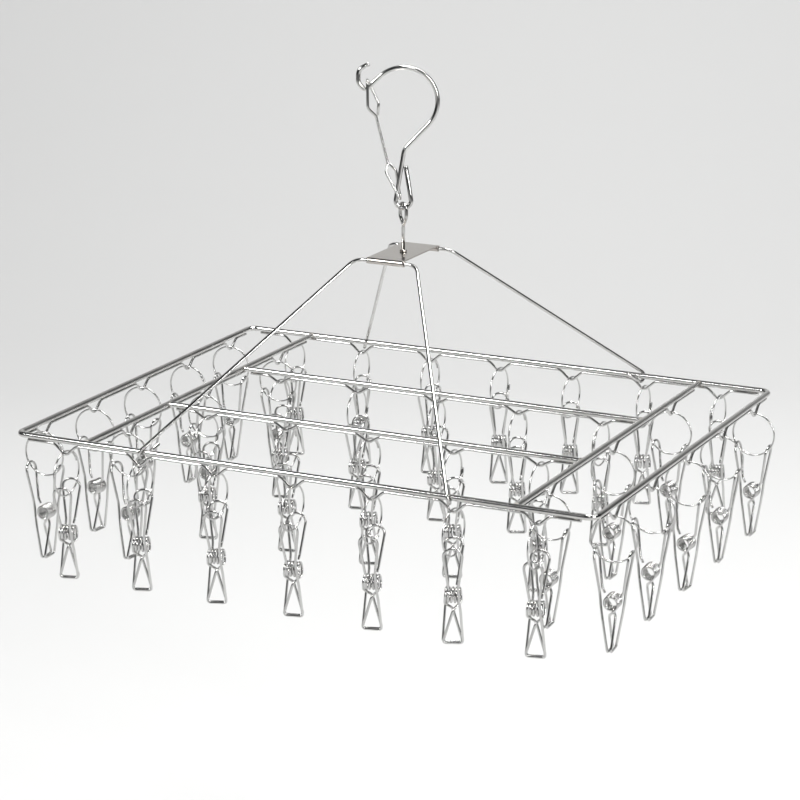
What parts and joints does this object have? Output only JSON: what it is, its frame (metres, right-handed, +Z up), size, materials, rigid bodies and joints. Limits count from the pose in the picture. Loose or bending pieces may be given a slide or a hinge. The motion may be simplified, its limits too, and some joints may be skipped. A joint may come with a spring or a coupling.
{
  "type": "clip drying hanger",
  "caption": "All-wire rectangular drying rack hung from a swivelling hook with a latch, with sprung wire clips hanging on rings from the wave wires under its rods.",
  "frame": {"origin": "inside top of the hook's arc, where it rests on a rod; the frame's plane is 249.5 mm below", "axes": "+X along the rack's long side, +Y from its front to its rear, +Z up"},
  "size_m": [0.4732, 0.3732, 0.3557],
  "materials": {
    "rod_steel": "polished stainless rod",
    "fine_wire_steel": "drawn bright stainless wire",
    "spring_steel": "bright stainless spring wire",
    "hook_steel": "polished stainless wire",
    "plate_steel": "satin stainless sheet"
  },
  "bodies": {
    "hook": {"hook": "hook_steel"},
    "latch": {"hook_latch": "hook_steel"},
    "eye": {"swivel_eye": "hook_steel"},
    "plate": {"top_plate": "plate_steel"},
    "front_stay": {"front_stay": "rod_steel"},
    "rear_stay": {"rear_stay": "rod_steel"},
    "frame": {"outer_frame": "rod_steel", "left_crossbar": "rod_steel", "right_crossbar": "rod_steel", "front_inner_rail": "rod_steel", "rear_inner_rail": "rod_steel", "front_wave_wire": "fine_wire_steel", "rear_wave_wire": "fine_wire_steel", "left_wave_wire": "fine_wire_steel", "right_wave_wire": "fine_wire_steel", "left_bar_wave_wire": "fine_wire_steel", "right_bar_wave_wire": "fine_wire_steel", "front_inner_wave_wire": "fine_wire_steel", "rear_inner_wave_wire": "fine_wire_steel"},
    "front_rings": {"front_rings": "fine_wire_steel"},
    "front_clips_a": {"front_clips_a": "spring_steel"},
    "front_clips_b": {"front_clips_b": "spring_steel"},
    "rear_rings": {"rear_rings": "fine_wire_steel"},
    "rear_clips_a": {"rear_clips_a": "spring_steel"},
    "rear_clips_b": {"rear_clips_b": "spring_steel"},
    "left_rings": {"left_rings": "fine_wire_steel"},
    "left_clips_a": {"left_clips_a": "spring_steel"},
    "left_clips_b": {"left_clips_b": "spring_steel"},
    "right_rings": {"right_rings": "fine_wire_steel"},
    "right_clips_a": {"right_clips_a": "spring_steel"},
    "right_clips_b": {"right_clips_b": "spring_steel"},
    "left_bar_rings": {"left_bar_rings": "fine_wire_steel"},
    "left_bar_clips_a": {"left_bar_clips_a": "spring_steel"},
    "left_bar_clips_b": {"left_bar_clips_b": "spring_steel"},
    "right_bar_rings": {"right_bar_rings": "fine_wire_steel"},
    "right_bar_clips_a": {"right_bar_clips_a": "spring_steel"},
    "right_bar_clips_b": {"right_bar_clips_b": "spring_steel"},
    "front_inner_rings": {"front_inner_rings": "fine_wire_steel"},
    "front_inner_clips_a": {"front_inner_clips_a": "spring_steel"},
    "front_inner_clips_b": {"front_inner_clips_b": "spring_steel"},
    "rear_inner_rings": {"rear_inner_rings": "fine_wire_steel"},
    "rear_inner_clips_a": {"rear_inner_clips_a": "spring_steel"},
    "rear_inner_clips_b": {"rear_inner_clips_b": "spring_steel"}
  },
  "joints": [
    {"name": "latch_lift", "type": "slide", "parent": "hook", "child": "latch", "axis": [0.1443, 0.0704, 0.987], "range_m": [0, 0.008]},
    {"name": "eye_swing", "type": "hinge", "parent": "hook", "child": "eye", "pos_m": [0, 0, -0.0987], "axis": [0.8988, 0.4384, 0], "range_deg": [-20, 20]},
    {"name": "plate_swivel", "type": "hinge", "parent": "eye", "child": "plate", "pos_m": [0, 0, -0.131], "axis": [0, 0, 1], "continuous": true},
    {"name": "front_stay_rock", "type": "hinge", "parent": "plate", "child": "front_stay", "pos_m": [0, -0.028, -0.1325], "axis": [1, 0, 0], "range_deg": [-8, 8]},
    {"name": "frame_rock", "type": "hinge", "parent": "front_stay", "child": "frame", "pos_m": [0, -0.17, -0.2495], "axis": [1, 0, 0], "range_deg": [-2, 2]},
    {"name": "rear_stay_rock", "type": "hinge", "parent": "plate", "child": "rear_stay", "pos_m": [0, 0.028, -0.1325], "axis": [1, 0, 0], "range_deg": [-8.5, 8.5]},
    {"name": "front_swing", "type": "hinge", "parent": "frame", "child": "front_rings", "pos_m": [0, -0.17, -0.2593], "axis": [-1, 0, 0], "range_deg": [-10, 30]},
    {"name": "front_rock", "type": "hinge", "parent": "front_rings", "child": "front_clips_a", "pos_m": [0, -0.17, -0.2734], "axis": [-1, 0, 0], "range_deg": [-10, 15]},
    {"name": "front_jaws", "type": "hinge", "parent": "front_clips_a", "child": "front_clips_b", "pos_m": [0, -0.17, -0.3168], "axis": [1, 0, 0], "range_deg": [0, 20], "stiffness_Nm_per_rad": 0.14, "springref_deg": -20.05},
    {"name": "rear_swing", "type": "hinge", "parent": "frame", "child": "rear_rings", "pos_m": [0, 0.17, -0.2593], "axis": [1, 0, 0], "range_deg": [-10, 30]},
    {"name": "rear_rock", "type": "hinge", "parent": "rear_rings", "child": "rear_clips_a", "pos_m": [0, 0.17, -0.2734], "axis": [1, 0, 0], "range_deg": [-10, 15]},
    {"name": "rear_jaws", "type": "hinge", "parent": "rear_clips_a", "child": "rear_clips_b", "pos_m": [0, 0.17, -0.3168], "axis": [1, 0, 0], "range_deg": [0, 20], "stiffness_Nm_per_rad": 0.14, "springref_deg": -20.05},
    {"name": "left_swing", "type": "hinge", "parent": "frame", "child": "left_rings", "pos_m": [-0.22, 0, -0.2593], "axis": [0, 1, 0], "range_deg": [-10, 30]},
    {"name": "left_rock", "type": "hinge", "parent": "left_rings", "child": "left_clips_a", "pos_m": [-0.22, 0, -0.2734], "axis": [0, 1, 0], "range_deg": [-10, 15]},
    {"name": "left_jaws", "type": "hinge", "parent": "left_clips_a", "child": "left_clips_b", "pos_m": [-0.22, 0, -0.3168], "axis": [0, 1, 0], "range_deg": [0, 20], "stiffness_Nm_per_rad": 0.1, "springref_deg": -20.05},
    {"name": "right_swing", "type": "hinge", "parent": "frame", "child": "right_rings", "pos_m": [0.22, 0, -0.2593], "axis": [0, -1, 0], "range_deg": [-10, 30]},
    {"name": "right_rock", "type": "hinge", "parent": "right_rings", "child": "right_clips_a", "pos_m": [0.22, 0, -0.2734], "axis": [0, -1, 0], "range_deg": [-10, 15]},
    {"name": "right_jaws", "type": "hinge", "parent": "right_clips_a", "child": "right_clips_b", "pos_m": [0.22, 0, -0.3168], "axis": [0, 1, 0], "range_deg": [0, 20], "stiffness_Nm_per_rad": 0.1, "springref_deg": -20.05},
    {"name": "left_bar_swing", "type": "hinge", "parent": "frame", "child": "left_bar_rings", "pos_m": [-0.164, 0, -0.2593], "axis": [0, 1, 0], "range_deg": [-10, 30]},
    {"name": "left_bar_rock", "type": "hinge", "parent": "left_bar_rings", "child": "left_bar_clips_a", "pos_m": [-0.164, 0, -0.2734], "axis": [0, 1, 0], "range_deg": [-10, 15]},
    {"name": "left_bar_jaws", "type": "hinge", "parent": "left_bar_clips_a", "child": "left_bar_clips_b", "pos_m": [-0.164, 0, -0.3168], "axis": [0, 1, 0], "range_deg": [0, 20], "stiffness_Nm_per_rad": 0.06, "springref_deg": -20.05},
    {"name": "right_bar_swing", "type": "hinge", "parent": "frame", "child": "right_bar_rings", "pos_m": [0.164, 0, -0.2593], "axis": [0, -1, 0], "range_deg": [-10, 30]},
    {"name": "right_bar_rock", "type": "hinge", "parent": "right_bar_rings", "child": "right_bar_clips_a", "pos_m": [0.164, 0, -0.2734], "axis": [0, -1, 0], "range_deg": [-10, 15]},
    {"name": "right_bar_jaws", "type": "hinge", "parent": "right_bar_clips_a", "child": "right_bar_clips_b", "pos_m": [0.164, 0, -0.3168], "axis": [0, 1, 0], "range_deg": [0, 20], "stiffness_Nm_per_rad": 0.06, "springref_deg": -20.05},
    {"name": "front_inner_swing", "type": "hinge", "parent": "frame", "child": "front_inner_rings", "pos_m": [0, -0.056, -0.2569], "axis": [-1, 0, 0], "range_deg": [-10, 30]},
    {"name": "front_inner_rock", "type": "hinge", "parent": "front_inner_rings", "child": "front_inner_clips_a", "pos_m": [0, -0.056, -0.271], "axis": [-1, 0, 0], "range_deg": [-10, 15]},
    {"name": "front_inner_jaws", "type": "hinge", "parent": "front_inner_clips_a", "child": "front_inner_clips_b", "pos_m": [0, -0.056, -0.3144], "axis": [1, 0, 0], "range_deg": [0, 20], "stiffness_Nm_per_rad": 0.1, "springref_deg": -20.05},
    {"name": "rear_inner_swing", "type": "hinge", "parent": "frame", "child": "rear_inner_rings", "pos_m": [0, 0.056, -0.2569], "axis": [1, 0, 0], "range_deg": [-10, 30]},
    {"name": "rear_inner_rock", "type": "hinge", "parent": "rear_inner_rings", "child": "rear_inner_clips_a", "pos_m": [0, 0.056, -0.271], "axis": [1, 0, 0], "range_deg": [-10, 15]},
    {"name": "rear_inner_jaws", "type": "hinge", "parent": "rear_inner_clips_a", "child": "rear_inner_clips_b", "pos_m": [0, 0.056, -0.3144], "axis": [1, 0, 0], "range_deg": [0, 20], "stiffness_Nm_per_rad": 0.1, "springref_deg": -20.05}
  ],
  "couplings": [
    {"joint": "frame_rock", "follows": "front_stay_rock", "ratio": -0.16471},
    {"joint": "rear_stay_rock", "follows": "front_stay_rock", "ratio": 1}
  ]
}
